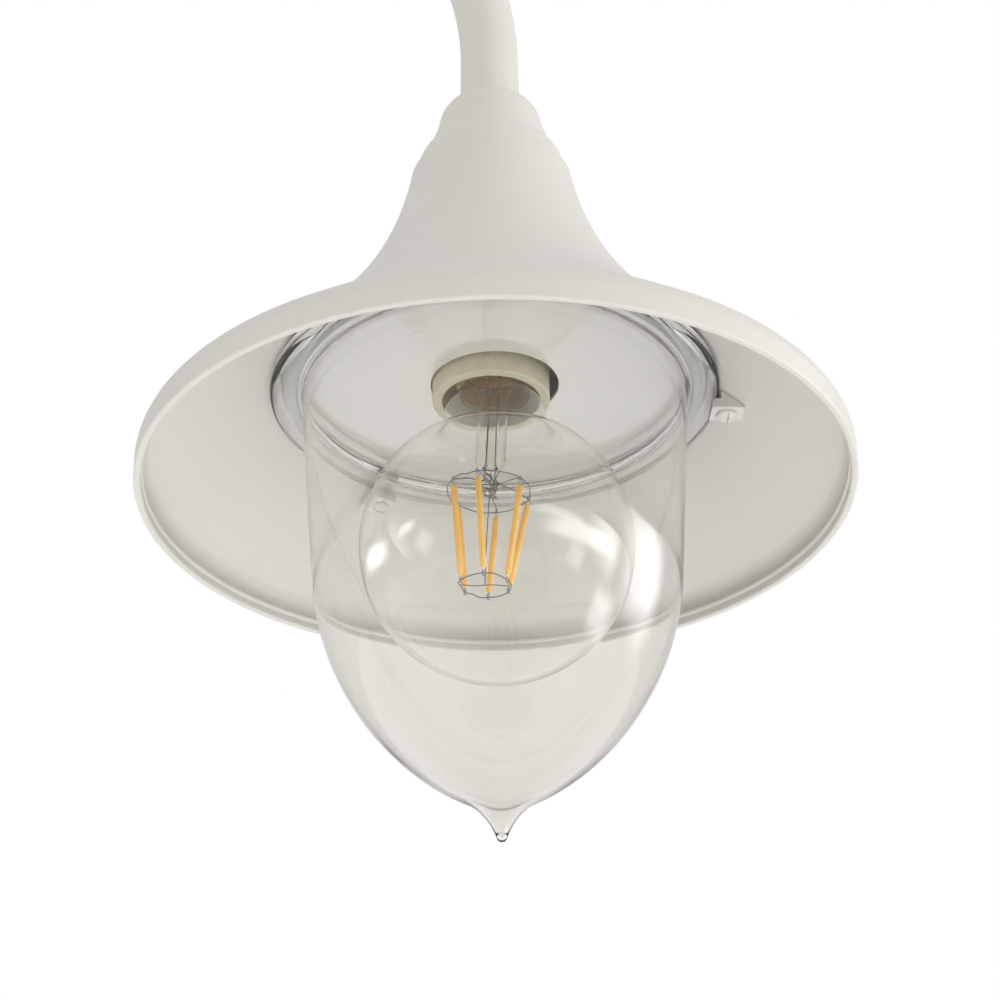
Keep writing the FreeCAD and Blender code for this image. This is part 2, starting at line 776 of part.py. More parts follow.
def glass_clips():
    for number in range(int(value("clip_count"))):
        body = lamp_body(f"glass_clip_{number + 1}")
        body.Placement.Rotation = FreeCAD.Rotation(UP_Z, 0)
        tie(body, "Placement.Rotation.Angle", f"clip_turn + {number} * 360 / clip_count")
        sketch = new_sketch(body, "wedge_outline", "XZ_Plane")
        closed_outline(sketch, clip_outline())
        wedge = feature(body, "Pad", "wedge", sketch, "clip_width")
        wedge.Midplane = True
        doc.recompute()
        sketch = new_sketch(body, "hole_outline", "XY_Plane", "plate_height")
        circles(sketch, ("screw_circle", "0", "clip_hole / 2"))
        feature(body, "Pocket", "hole", sketch, "plate_height - clip_bottom")
        doc.recompute()


def clip_screws():
    """Pan-head screws from below, through the clips into the brim."""
    body = lamp_body("clip_screws")
    body.Placement.Rotation = FreeCAD.Rotation(UP_Z, 0)
    tie(body, "Placement.Rotation.Angle", "clip_turn")
    sketch = new_sketch(body, "shank_outline", "XY_Plane", "clip_bottom")
    circles(sketch, ("screw_circle", "0", "screw_od / 2"))
    shank = feature(body, "Pad", "shank", sketch, "screw_reach")
    around(body, [shank], "clip_count")
    sketch = new_sketch(body, "head_outline", "XZ_Plane")
    rim = "clip_bottom - screw_head_tall / 2"
    closed_outline(sketch, [
        ("screw_circle", "clip_bottom"),
        ("screw_circle", "clip_bottom - screw_head_tall"),
        ("screw_circle + screw_head / 2", "clip_bottom - screw_head_tall", "left", "screw_head_round"),
        ("screw_circle + screw_head", rim),
        ("screw_circle + screw_head", "clip_bottom"),
    ])
    head = feature(body, "Revolution", "head", sketch)
    head.ReferenceAxis = (sketch, ["Edge1"])
    head.Angle = 360
    around(body, [head], "clip_count")
    sketch = new_sketch(body, "slot_outline", "XY_Plane", "clip_bottom - screw_head_tall")
    half = "screw_slot / 2"
    closed_outline(sketch, [
        (f"screw_circle - {half}", "-screw_head"),
        (f"screw_circle + {half}", "-screw_head"),
        (f"screw_circle + {half}", "screw_head"),
        (f"screw_circle - {half}", "screw_head"),
    ])
    slot = feature(body, "Pocket", "slot", sketch, "screw_slot_deep")
    slot.Reversed = True
    around(body, [slot], "clip_count")


# Bulb: a clear globe on a screw cap, with six lit rods in a tapering cage on a glass stem.
def bulb_envelope():
    """Globe with a flatter shoulder, a crease and a short neck that rounds into the cap."""
    body = lamp_body("bulb_envelope")
    grip = "(cap_shell - cap_shell_wall - fit_gap)"
    climb = "((shoulder_height - globe_height) / globe_radius)"
    level = f"sqrt(1 - {climb} ^ 2)"

    def shoulder(inset):
        reach = f"(globe_radius - {inset})"
        return f"{reach} * {level}", f"globe_height + {reach} * {climb}"

    def crease(inset):
        back, reach = "(globe_radius - shoulder_curve)", f"(shoulder_curve - {inset})"
        return (f"{back} * {level} + {reach} * cos(crease_angle)",
                f"globe_height + {back} * {climb} + {reach} * sin(crease_angle)")

    fold = f"(({crease('0')[0]} - bulb_neck) / (1 - cos(crease_angle)))"
    foot = f"{crease('0')[1]} + {fold} * sin(crease_angle)"

    def neck_end(inset):
        reach = f"(neck_curve - {inset})"
        return f"neck_bend + sqrt({reach} ^ 2 - ({grip} - {inset} - bulb_neck + neck_curve) ^ 2)"

    turn(body, "glass", [
        (grip, "neck_grip"),
        (f"{grip} - bulb_glass", "neck_grip"),
        (f"{grip} - bulb_glass", neck_end("bulb_glass"), "right", "neck_curve - bulb_glass"),
        ("bulb_neck - bulb_glass", "neck_bend"),
        ("bulb_neck - bulb_glass", foot, "left", f"{fold} + bulb_glass"),
        (*crease("bulb_glass"), "right", "shoulder_curve - bulb_glass"),
        (*shoulder("bulb_glass"), "right", "globe_radius - bulb_glass"),
        ("globe_radius - bulb_glass", "globe_height", "right", "globe_radius - bulb_glass"),
        ("0", "globe_height - globe_radius + bulb_glass"),
        ("0", "globe_height - globe_radius", "left", "globe_radius"),
        ("globe_radius", "globe_height", "left", "globe_radius"),
        (*shoulder("0"), "left", "shoulder_curve"),
        (*crease("0"), "right", fold),
        ("bulb_neck", foot),
        ("bulb_neck", "neck_bend", "left", "neck_curve"),
        (grip, neck_end("0")),
    ])


def bulb_cap():
    shell = lamp_body("bulb_cap")
    inner = "cap_shell - cap_shell_wall"
    turn(shell, "shell", [
        (inner, "cap_mouth"),
        ("cap_shell", "cap_mouth"),
        ("cap_shell", "cap_shoulder"),
        ("cap_eye + cap_shell_wall", "cap_cone"),
        ("cap_eye", "cap_cone"),
        (inner, "cap_shoulder - cap_shell_wall"),
    ])
    insulator = lamp_body("cap_insulator")
    turn(insulator, "cone", [
        ("0", "cap_cone"),
        ("cap_eye + cap_shell_wall", "cap_cone"),
        ("insulator_eye", "insulator_end"),
        ("0", "insulator_end"),
    ])
    contact = lamp_body("cap_contact")
    turn(contact, "button", [
        ("0", "insulator_end"),
        ("insulator_eye", "insulator_end"),
        ("contact_face", "bulb_tip"),
        ("0", "bulb_tip"),
    ])


def mount_body(label):
    """A body of the bulb's inner mount, which leans a little from the bulb's axis about its foot."""
    aside = f"{HEAD_X} - stem_foot * sin(mount_lean)"
    body = new_body(label, aside, f"{HEAD_Z} + {LIFT} + stem_foot * (1 - cos(mount_lean))")
    body.Placement.Rotation = FreeCAD.Rotation(UP_Y, 1)
    tie(body, "Placement.Rotation.Angle", "mount_lean")
    return body


def bulb_stem():
    """Glass stem, flared at its foot inside the cap."""
    body = mount_body("bulb_stem")
    turn(body, "glass", [
        ("0", "stem_end"),
        ("stem_radius * 0.8", "stem_end"),
        ("stem_radius", "stem_end + stem_radius"),
        ("stem_radius", "stem_waist", "right", "stem_curve"),
        ("stem_flare", "stem_foot"),
        ("0", "stem_foot"),
    ])


def straight_rod(body, name, start, finish, radius, trim):
    """A round rod between two (radius, height) points, cut short by trim at both."""
    run = f"({finish[0]} - ({start[0]}))"
    rise = f"({finish[1]} - ({start[1]}))"
    length = f"sqrt({run} ^ 2 + {rise} ^ 2)"

    def corner(end, along, aside):
        across = f"{end[0]} + ({along}) * {run} / {length} + ({aside}) * {rise} / {length}"
        return across, f"{end[1]} + ({along}) * {rise} / {length} - ({aside}) * {run} / {length}"

    sketch = new_sketch(body, f"{name}_outline", "XZ_Plane")
    closed_outline(sketch, [
        corner(start, trim, "0"),
        corner(finish, f"-{trim}", "0"),
        corner(finish, f"-{trim}", radius),
        corner(start, trim, radius),
    ])
    rod = feature(body, "Revolution", name, sketch)
    rod.ReferenceAxis = (sketch, ["Edge1"])
    rod.Angle = 360
    return sketch, rod


UPPER_RING = ("upper_ring", "upper_ring_height")
LOWER_RING = ("lower_ring", "lower_ring_height")


def filaments():
    body = mount_body("filaments")
    sketch, rod = straight_rod(body, "rod", LOWER_RING, UPPER_RING, "filament_radius", "1.06 * wire_radius")
    sketch.AttachmentOffset = FreeCAD.Placement(FreeCAD.Vector(), FreeCAD.Rotation(UP_Y, 1))
    tie(sketch, "AttachmentOffset.Rotation.Angle", "filament_turn")
    around(body, [rod], "filament_count")


def wire_ring(label, radius, height):
    """A wire ring that joins the rods' ends."""
    body = mount_body(label)
    sketch = new_sketch(body, "wire_outline", "XZ_Plane")
    circles(sketch, (radius, height, "wire_radius"))
    ring = feature(body, "Revolution", "wire", sketch)
    ring.ReferenceAxis = (sketch, ["V_Axis"])
    ring.Angle = 360
    doc.recompute()


def centre_wire():
    """Wire from the stem's end down to a bar across the lower ring."""
    body = mount_body("centre_wire")
    sketch = new_sketch(body, "drop_outline", "XY_Plane", "lower_ring_height")
    circles(sketch, ("0", "0", "wire_radius"))
    feature(body, "Pad", "drop", sketch, "stem_end - lower_ring_height")
    doc.recompute()
    bar = new_sketch(body, "bar_outline", "YZ_Plane", "wire_radius - lower_ring")
    circles(bar, ("0", "lower_ring_height", "wire_radius"))
    feature(body, "Pad", "bar", bar, "2 * (lower_ring - wire_radius)")
    doc.recompute()


def top_wires():
    """Two lead wires from the stem's end out to the upper ring."""
    body = mount_body("top_wires")
    foot = ("stem_radius / 2", "stem_end - wire_radius")
    _, lead = straight_rod(body, "lead", foot, UPPER_RING, "wire_radius", "wire_radius")
    around(body, [lead], "lead_count")


ground_flange()
base_cover()
tube("lower_tube", "lower_od", "lower_wall", "flange_thick", "lower_top")
collar("step_collar", "lower_od", "upper_od", "upper_wall", "lower_top")
tube("upper_tube", "upper_od", "upper_wall", "lower_top + collar_web", "upper_top")
collar("top_collar", "upper_od", "tube_od", "tube_wall", "upper_top")
swan_neck()
neck_cap()
neck_ring()
hood()
nipple()
lampholder()
reflector_plate()
glass_gasket()
glass_shade()
glass_clips()
clip_screws()
bulb_envelope()
bulb_cap()
bulb_stem()
filaments()
wire_ring("upper_wire_ring", "upper_ring", "upper_ring_height")
wire_ring("lower_wire_ring", "lower_ring", "lower_ring_height")
centre_wire()
top_wires()
doc.recompute()

for item in doc.Objects:
    if "Invalid" in item.State or "Error" in item.State:
        raise RuntimeError(f"{item.Label} did not build: {item.State}")

os.makedirs("parts", exist_ok=True)
for node in NODES:
    if node.Shape.isNull() or not node.Shape.isValid() or not node.Shape.Solids:
        raise RuntimeError(f"{node.Label} has no sound solid")
    node.Shape.exportStep(f"parts/{node.Label}.step")
    print(f"{node.Label}: {len(node.Shape.Solids)} solid(s), {node.Shape.Volume / 1000:.2f} cm3")
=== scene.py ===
import json
import math
import random

import bmesh
import bpy
from mathutils import Matrix, Vector


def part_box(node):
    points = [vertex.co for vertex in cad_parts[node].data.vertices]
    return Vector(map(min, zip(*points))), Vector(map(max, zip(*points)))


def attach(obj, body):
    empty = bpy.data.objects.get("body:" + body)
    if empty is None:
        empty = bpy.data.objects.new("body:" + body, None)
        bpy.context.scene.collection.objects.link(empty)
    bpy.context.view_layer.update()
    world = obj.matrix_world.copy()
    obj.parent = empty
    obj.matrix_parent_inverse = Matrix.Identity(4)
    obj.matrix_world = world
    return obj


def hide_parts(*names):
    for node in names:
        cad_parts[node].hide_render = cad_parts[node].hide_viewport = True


# Looks of the outdoor lamp post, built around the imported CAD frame.
# Outlines are in millimetres: radius and height, from the hood's lower edge or from the ground.

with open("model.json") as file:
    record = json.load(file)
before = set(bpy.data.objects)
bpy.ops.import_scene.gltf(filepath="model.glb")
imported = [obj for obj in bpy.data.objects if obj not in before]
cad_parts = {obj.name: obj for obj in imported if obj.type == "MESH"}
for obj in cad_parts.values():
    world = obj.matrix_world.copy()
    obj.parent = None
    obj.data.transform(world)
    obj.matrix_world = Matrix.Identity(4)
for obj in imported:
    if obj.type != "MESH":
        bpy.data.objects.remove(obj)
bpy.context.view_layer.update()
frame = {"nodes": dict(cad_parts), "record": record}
nodes = frame["nodes"]
scene = bpy.context.scene

low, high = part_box("hood")
HEAD = Vector(((low.x + high.x) / 2, (low.y + high.y) / 2, low.z))
IN_POST = Matrix.Scale(0.001, 4)
IN_HEAD = Matrix.Translation(HEAD) @ IN_POST
# The bulb's inner mount leans by three degrees about its foot.
STEM_FOOT = Matrix.Translation((0, 0, 49))
IN_MOUNT = IN_HEAD @ STEM_FOOT @ Matrix.Rotation(math.radians(3), 4, "Y") @ STEM_FOOT.inverted()


# Materials

class Look:
    """A procedural material in the making, mapped by the piece's own coordinates in metres."""

    def __init__(self, name):
        self.material = bpy.data.materials.new(name)
        self.material.use_nodes = True
        self.tree = self.material.node_tree
        self.shader = self.tree.nodes["Principled BSDF"]
        self.output = self.tree.nodes["Material Output"]
        self.place = self.node("ShaderNodeTexCoord").outputs["Object"]

    def node(self, kind, **settings):
        made = self.tree.nodes.new(kind)
        for key, setting in settings.items():
            setattr(made, key, setting)
        return made

    def link(self, source, target):
        self.tree.links.new(source, target)

    def fixed(self, **sockets):
        """Constant values on the shader's own sockets."""
        for name, setting in sockets.items():
            self.shader.inputs[name.replace("_", " ")].default_value = setting

    def noise(self, scale, detail=2.0, stretch=(1, 1, 1)):
        mapping = self.node("ShaderNodeMapping")
        mapping.inputs["Scale"].default_value = stretch
        self.link(self.place, mapping.inputs["Vector"])
        noise = self.node("ShaderNodeTexNoise")
        noise.inputs["Scale"].default_value = scale
        noise.inputs["Detail"].default_value = detail
        self.link(mapping.outputs["Vector"], noise.inputs["Vector"])
        return noise.outputs["Fac"]

    def spread(self, factor, lowest, highest, start=0.3, end=0.7):
        """The factor's middle range stretched to lowest..highest."""
        remap = self.node("ShaderNodeMapRange")
        settings = {"From Min": start, "From Max": end, "To Min": lowest, "To Max": highest}
        for name, setting in settings.items():
            remap.inputs[name].default_value = setting
        self.link(factor, remap.inputs["Value"])
        return remap.outputs["Result"]

    def colours(self, factor, one, two):
        mix = self.node("ShaderNodeMix", data_type="RGBA")
        mix.inputs[6].default_value = (*one, 1)
        mix.inputs[7].default_value = (*two, 1)
        self.link(factor, mix.inputs[0])
        self.link(mix.outputs[2], self.shader.inputs["Base Color"])

    def roughness(self, factor, lowest, highest):
        self.link(self.spread(factor, lowest, highest), self.shader.inputs["Roughness"])

    def bump(self, height, depth, strength=1.0):
        bump = self.node("ShaderNodeBump")
        bump.inputs["Strength"].default_value = strength
        bump.inputs["Distance"].default_value = depth
        self.link(height, bump.inputs["Height"])
        self.link(bump.outputs["Normal"], self.shader.inputs["Normal"])


def painted(name, one, two):
    """Satin powder coat: a fine orange peel and a faint drift of colour and gloss."""
    look = Look(name)
    look.colours(look.spread(look.noise(5, 3), 0, 1), one, two)
    look.roughness(look.noise(90, 3), 0.40, 0.52)
    look.bump(look.noise(900, 2), 0.00004, 0.35)
    return look.material


def gloss_enamel():
    """Glossy enamel on sheet metal, a little wavy."""
    look = Look("gloss_white")
    look.colours(look.spread(look.noise(9, 3), 0, 1), (0.93, 0.905, 0.865), (0.96, 0.935, 0.90))
    look.roughness(look.noise(40, 3), 0.10, 0.16)
    look.bump(look.noise(26, 2), 0.00025, 0.25)
    look.fixed(Coat_Weight=1.0, Coat_Roughness=0.03, Coat_IOR=2.4)
    return look.material


def metal(name, one, two, lowest, highest, grain=(1, 1, 1)):
    look = Look(name)
    look.colours(look.spread(look.noise(160, 3, grain), 0, 1), one, two)
    look.roughness(look.noise(300, 2, grain), lowest, highest)
    look.bump(look.noise(700, 2, grain), 0.00003, 0.3)
    look.fixed(Metallic=1.0)
    return look.material


def moulded(name, one, two, lowest, highest, grit=600, depth=0.00004):
    """Plastic, rubber, ceramic or cement with a matt skin."""
    look = Look(name)
    look.colours(look.spread(look.noise(120, 4), 0, 1), one, two)
    look.roughness(look.noise(200, 2), lowest, highest)
    look.bump(look.noise(grit, 3), depth, 0.4)
    return look.material


def clear_glass(name, one, two, wave, depth, passing, absorb=None, bending=1.5):
    """Clear glass with faint waves of blowing; light from the lamps passes through it."""
    look = Look(name)
    look.colours(look.spread(look.noise(7, 2), 0, 1), one, two)
    look.bump(look.noise(wave, 2, (1, 1, 0.45)), depth, 0.5)
    look.fixed(Roughness=0.0, IOR=bending, Transmission_Weight=1.0)
    lamps = look.node("ShaderNodeBsdfTransparent")
    lamps.inputs["Color"].default_value = (*passing, 1)
    mix = look.node("ShaderNodeMixShader")
    look.link(look.node("ShaderNodeLightPath").outputs["Is Shadow Ray"], mix.inputs["Fac"])
    look.link(look.shader.outputs["BSDF"], mix.inputs[1])
    look.link(lamps.outputs["BSDF"], mix.inputs[2])
    look.link(mix.outputs["Shader"], look.output.inputs["Surface"])
    if absorb:
        inside = look.node("ShaderNodeVolumeAbsorption")
        inside.inputs["Color"].default_value = (*absorb[0], 1)
        inside.inputs["Density"].default_value = absorb[1]
        look.link(inside.outputs["Volume"], look.output.inputs["Volume"])
    return look.material


def amber_phosphor():
    """Silicone with phosphor over the LED rods, brightened by a faint painted glow."""
    look = Look("filament_amber")
    look.colours(look.spread(look.noise(260, 3, (1, 1, 0.4)), 0, 1), (0.97, 0.50, 0.03), (1.0, 0.58, 0.06))
    look.roughness(look.noise(500, 2), 0.30, 0.45)
    look.bump(look.noise(900, 2), 0.00005, 0.4)
    look.fixed(Subsurface_Weight=0.25, Subsurface_Scale=0.002)
    # Painted glow: a faint amber emission brightens the rods, though the lamp is off.
    look.fixed(Emission_Color=(1.0, 0.58, 0.10, 1), Emission_Strength=0.18)
    return look.material


LOOKS = {
    "cream_paint": painted("cream_paint", (0.755, 0.735, 0.695), (0.785, 0.765, 0.728)),
    "gloss_white": gloss_enamel(),
    "zinc_steel": metal("zinc_steel", (0.62, 0.62, 0.60), (0.74, 0.74, 0.72), 0.24, 0.38),
    "holder_plastic": moulded("holder_plastic", (0.91, 0.855, 0.64), (0.94, 0.885, 0.68), 0.42, 0.55),
    "holder_ceramic": moulded("holder_ceramic", (0.74, 0.72, 0.66), (0.80, 0.78, 0.72), 0.35, 0.5),
    "contact_brass": metal("contact_brass", (0.66, 0.47, 0.22), (0.74, 0.55, 0.28), 0.2, 0.35),
    "gasket_rubber": moulded("gasket_rubber", (0.92, 0.912, 0.89), (0.95, 0.942, 0.92), 0.5, 0.65),
    "shade_glass": clear_glass("shade_glass", (0.985, 0.985, 0.978), (0.992, 0.992, 0.988), 16, 0.0010,
                               (0.985, 0.985, 0.98), ((0.86, 0.86, 0.83), 16)),
    "bulb_glass": clear_glass("bulb_glass", (0.978, 0.976, 0.958), (0.986, 0.984, 0.968), 24, 0.0004,
                              (0.99, 0.99, 0.985), bending=1.4),
    "stem_glass": clear_glass("stem_glass", (0.978, 0.976, 0.958), (0.986, 0.984, 0.968), 24, 0.0004,
                              (0.99, 0.99, 0.985), bending=1.18),
    "cap_metal": metal("cap_metal", (0.60, 0.50, 0.38), (0.70, 0.60, 0.47), 0.22, 0.36),
    "cap_cement": moulded("cap_cement", (0.95, 0.60, 0.20), (0.98, 0.68, 0.27), 0.6, 0.8, 900, 0.0001),
    "cap_insulation": moulded("cap_insulation", (0.012, 0.012, 0.013), (0.022, 0.022, 0.024), 0.2, 0.35),
    "filament_amber": amber_phosphor(),
    "lead_wire": metal("lead_wire", (0.11, 0.10, 0.09), (0.22, 0.20, 0.18), 0.3, 0.45),
}


# Building pieces

def outline(corners, steps=16):
    """Points along corners (radius, height[, side, bend]); side and bend curve the way to the next corner."""
    points = []
    for index, corner in enumerate(corners):
        start = Vector(corner[:2])
        points.append(start)
        if len(corner) == 2:
            continue
        finish = Vector(corners[(index + 1) % len(corners)][:2])
        chord = finish - start
        rise = math.sqrt(max(corner[3] ** 2 - chord.length_squared / 4, 0))
        left = Vector((-chord.y, chord.x)).normalized()
        side = 1 if corner[2] == "left" else -1
        centre = (start + finish) / 2 + left * rise * side
        first = math.atan2(start.y - centre.y, start.x - centre.x)
        last = math.atan2(finish.y - centre.y, finish.x - centre.x)
        sweep = side * ((side * (last - first)) % math.tau)
        for step in range(1, steps):
            angle = first + sweep * step / steps
            points.append(centre + corner[3] * Vector((math.cos(angle), math.sin(angle))))
    return points


def lathe(bm, points, around=160, swell=None):
    """Turns a closed outline about the vertical axis; swell(radius, angle, height) gives ribs and threads."""
    rings = []
    for radius, height in points:
        if radius < 1e-4:
            rings.append([bm.verts.new((0, 0, height))])
            continue
        ring = []
        for step in range(around):
            angle = math.tau * step / around
            reach = swell(radius, angle, height) if swell else radius
            ring.append(bm.verts.new((reach * math.cos(angle), reach * math.sin(angle), height)))
        rings.append(ring)
    for one, two in zip(rings, rings[1:] + rings[:1]):
        if len(one) == len(two) == 1:
            continue
        for step in range(around):
            after = (step + 1) % around
            quad = (one[step % len(one)], one[after % len(one)], two[after % len(two)], two[step % len(two)])
            bm.faces.new(dict.fromkeys(quad))
    bmesh.ops.recalc_face_normals(bm, faces=bm.faces)
    return bm


def wire(bm, path, radius, sides=10, closed=False):
    """A round wire along a path; radius is a number or one for each point."""
    path = [Vector(point) for point in path]
    count = len(path)
    radii = radius if isinstance(radius, list) else [radius] * count
    normal = None
    rings = []
    for index, point in enumerate(path):
        before = path[index - 1] if closed or index else point
        after = path[(index + 1) % count] if closed or index < count - 1 else point
        along = (after - before).normalized()
        if normal is None:
            normal = along.orthogonal()
        normal = (normal - along * normal.dot(along)).normalized()
        across = along.cross(normal)
        rings.append([
            bm.verts.new(point + radii[index] * (math.cos(turn) * normal + math.sin(turn) * across))
            for turn in (math.tau * side / sides for side in range(sides))
        ])
    spans = list(zip(rings, rings[1:] + rings[:1]))
    shift = 0
    for number, (one, two) in enumerate(spans if closed else spans[:-1]):
        if closed and number == count - 1:
            shift = min(range(sides), key=lambda turn: (two[turn].co - one[0].co).length)
        for side in range(sides):
            after = (side + 1) % sides
            bm.faces.new((one[side], one[after], two[(after + shift) % sides], two[(side + shift) % sides]))
    if not closed:
        bm.faces.new(reversed(rings[0]))
        bm.faces.new(rings[-1])
    return bm


def spline(points, steps=8, closed=False):
    """A smooth way through the points."""
    points = [Vector(point) for point in points]
    count = len(points)
    way = []
    for index in range(count if closed else count - 1):
        def at(offset):
            place = index + offset
            return points[place % count] if closed else points[min(max(place, 0), count - 1)]
        p0, p1, p2, p3 = at(-1), at(0), at(1), at(2)
        for step in range(steps):
            t = step / steps
            way.append(0.5 * (2 * p1 + (p2 - p0) * t + (2 * p0 - 5 * p1 + 4 * p2 - p3) * t * t
                              + (3 * p1 - p0 - 3 * p2 + p3) * t ** 3))
    if not closed:
        way.append(points[-1])
    return way


def piece(name, bm, finish, body, stands_for=(), place=IN_HEAD, sharp=35, rounding=0.0):
    """Puts a built mesh in place on its body, with its finish, for the CAD nodes it stands for."""
    bmesh.ops.transform(bm, matrix=place, verts=bm.verts)
    bmesh.ops.recalc_face_normals(bm, faces=bm.faces)
    mesh = bpy.data.meshes.new(name)
    bm.to_mesh(mesh)
    bm.free()
    mesh.shade_smooth()
    mesh.set_sharp_from_angle(angle=math.radians(sharp))
    mesh.materials.append(LOOKS[finish])
    made = bpy.data.objects.new(name, mesh)
    scene.collection.objects.link(made)
    if rounding:
        bevel = made.modifiers.new("rounded_edges", "BEVEL")
        bevel.width = rounding / 1000
        bevel.segments = 3
        bevel.limit_method = "ANGLE"
        bevel.angle_limit = math.radians(sharp)
        bevel.harden_normals = True
    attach(made, body)
    if stands_for:
        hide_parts(*stands_for)


def turned(name, corners, finish, body, stands_for=(), place=IN_HEAD,
           around=160, steps=16, rounding=0.0, swell=None):
    """A piece turned from one outline."""
    bm = lathe(bmesh.new(), outline(corners, steps), around, swell)
    piece(name, bm, finish, body, stands_for, place, rounding=rounding)


# Widths of the post's tubes and heights of the seats in its collars.
LOWER_TUBE, UPPER_TUBE, NECK_TUBE = 60.3, 42.4, 21.3
STEP_SEAT, TOP_SEAT = 900, 1700


# Lamp head

# The hood's rim, its rounded lip, the brim's slope, the bell's curve and the neck that it runs into.
RIM, LIP_TOP, LIP_BEND = 125, 6.5, 9.6
BRIM = math.radians(38)
BELL_BEND, HOOD_WALL = 149, 2.5
NECK_R, NECK_Z = 29.8, 134
# Heights of the hood's ceiling and top and of the cap's foot, and the hole for the nipple.
CEILING, HOOD_TOP, CAP_FOOT = 136.5, 137.8, 146.7
NIPPLE_HOLE = 5.15

# The brim's distance from the middle of the lower edge, and where along it the bell begins.
REACH = (RIM - LIP_BEND) * math.sin(BRIM) + LIP_TOP * math.cos(BRIM) + LIP_BEND
ACROSS = NECK_R * math.sin(BRIM) + NECK_Z * math.cos(BRIM)
ALONG = (NECK_R * math.cos(BRIM) - NECK_Z * math.sin(BRIM)
         + math.sqrt(BELL_BEND ** 2 - (REACH + BELL_BEND - ACROSS) ** 2))
BELL_R = (REACH + BELL_BEND) * math.sin(BRIM) + ALONG * math.cos(BRIM)
BELL_Z = (REACH + BELL_BEND) * math.cos(BRIM) - ALONG * math.sin(BRIM)


def lip_end(inset):
    """Where the lip's rounding runs into the brim."""
    bend = LIP_BEND - inset
    return RIM - LIP_BEND + bend * math.sin(BRIM), LIP_TOP + bend * math.cos(BRIM)


def bell_start(inset):
    """Where the brim runs into the bell."""
    across = (REACH - inset) * math.sin(BRIM) + ALONG * math.cos(BRIM)
    return across, (REACH - inset) * math.cos(BRIM) - ALONG * math.sin(BRIM)


def brim_inside(height):
    """Radius of the brim's inner face."""
    return (REACH - HOOD_WALL - height * math.cos(BRIM)) / math.sin(BRIM)


def bell_inside(height):
    """Radius of the bell's inner face."""
    return BELL_R - math.sqrt((BELL_BEND + HOOD_WALL) ** 2 - (BELL_Z - height) ** 2)


turned("hood_shell", [
    (123.3, 0),
    (124.2, 0, "left", 0.8),
    (RIM, 0.8),
    (RIM, LIP_TOP, "left", LIP_BEND),
    lip_end(0),
    (*bell_start(0), "right", BELL_BEND),
    (NECK_R, 133.2, "left", 6.5),
    (27.3, HOOD_TOP),
    (NIPPLE_HOLE, HOOD_TOP),
    (NIPPLE_HOLE, CEILING),
    (bell_inside(CEILING), CEILING, "left", BELL_BEND + HOOD_WALL),
    bell_start(HOOD_WALL),
    (*lip_end(HOOD_WALL), "right", LIP_BEND - HOOD_WALL),
    (RIM - HOOD_WALL, LIP_TOP),
    (RIM - HOOD_WALL, 5.4, "left", 1.3),
    (RIM - HOOD_WALL, 3.0),
    (RIM - HOOD_WALL, 0.8, "left", 0.8),
], "cream_paint", "post", ["hood"], around=256, steps=28)

turned("neck_moulding", [
    (NIPPLE_HOLE, HOOD_TOP),
    (27.3, HOOD_TOP, "left", 13),
    (23, CAP_FOOT),
    (NIPPLE_HOLE, CAP_FOOT),
], "cream_paint", "post", ["neck_ring"])

turned("neck_cap_dome", [
    (NIPPLE_HOLE, CAP_FOOT),
    (23, CAP_FOOT),
    (19.3, 158, "left", 13),
    (12.1, 169.2),
    (12, 169.6),
    (11.5, 170),
    (10.8, 170),
    (10.8, 155),
    (NIPPLE_HOLE, 155),
], "cream_paint", "post", ["neck_cap"])


def swan_neck():
    """The bent tube, a little fuller where its paint runs onto the cap."""
    crook, foot, painted_radius = 140, TOP_SEAT + 4, 10.85
    top = 2200 - NECK_TUBE / 2 - crook
    mouth = HEAD.z * 1000 + 155.2
    path = [(0, 0, foot + (top - foot) * step / 24) for step in range(24)]
    for step in range(97):
        turn = math.pi * step / 96
        path.append((crook - crook * math.cos(turn), 0, top + crook * math.sin(turn)))
    path += [(2 * crook, 0, top + (mouth - top) * step / 12) for step in range(1, 13)]
    radii = [painted_radius] * len(path)
    for index, point in enumerate(path):
        if point[0] > 1.9 * crook and point[2] < top:
            radii[index] += 0.45 * math.exp(-max(point[2] - mouth - 15, 0) / 9)
    piece("swan_neck_tube", wire(bmesh.new(), path, radii, 72), "cream_paint", "post", ["swan_neck"], IN_POST)


swan_neck()

PLATE_FACE, PLATE_BACK = 44.6, 46

turned("reflector_dish", [
    (22.6, PLATE_FACE + 0.15),
    (22.75, PLATE_FACE),
    (brim_inside(PLATE_FACE) - 0.3, PLATE_FACE),
    (brim_inside(PLATE_BACK) - 0.3, PLATE_BACK),
    (22.6, PLATE_BACK),
], "gloss_white", "post", ["reflector_plate"], around=192)

turned("gasket_ring", [
    (69.6, 43.06),
    (73.6, 43.06, "left", 0.9),
    (73.6, 44.56),
    (69.6, 44.56, "left", 0.9),
], "gasket_rubber", "post", ["glass_gasket"], around=192, steps=8)


# The glass's underside of the flange, and the curve of its belly: bend and middle.
FLANGE_FOOT = 39.3
BELLY_BEND, BELLY_R, BELLY_Z = 99.7, -36.1, -25.4


def belly(height, inset=0.0):
    """Radius of the glass below its straight wall."""
    return math.sqrt((BELLY_BEND - inset) ** 2 - (height - BELLY_Z) ** 2) + BELLY_R


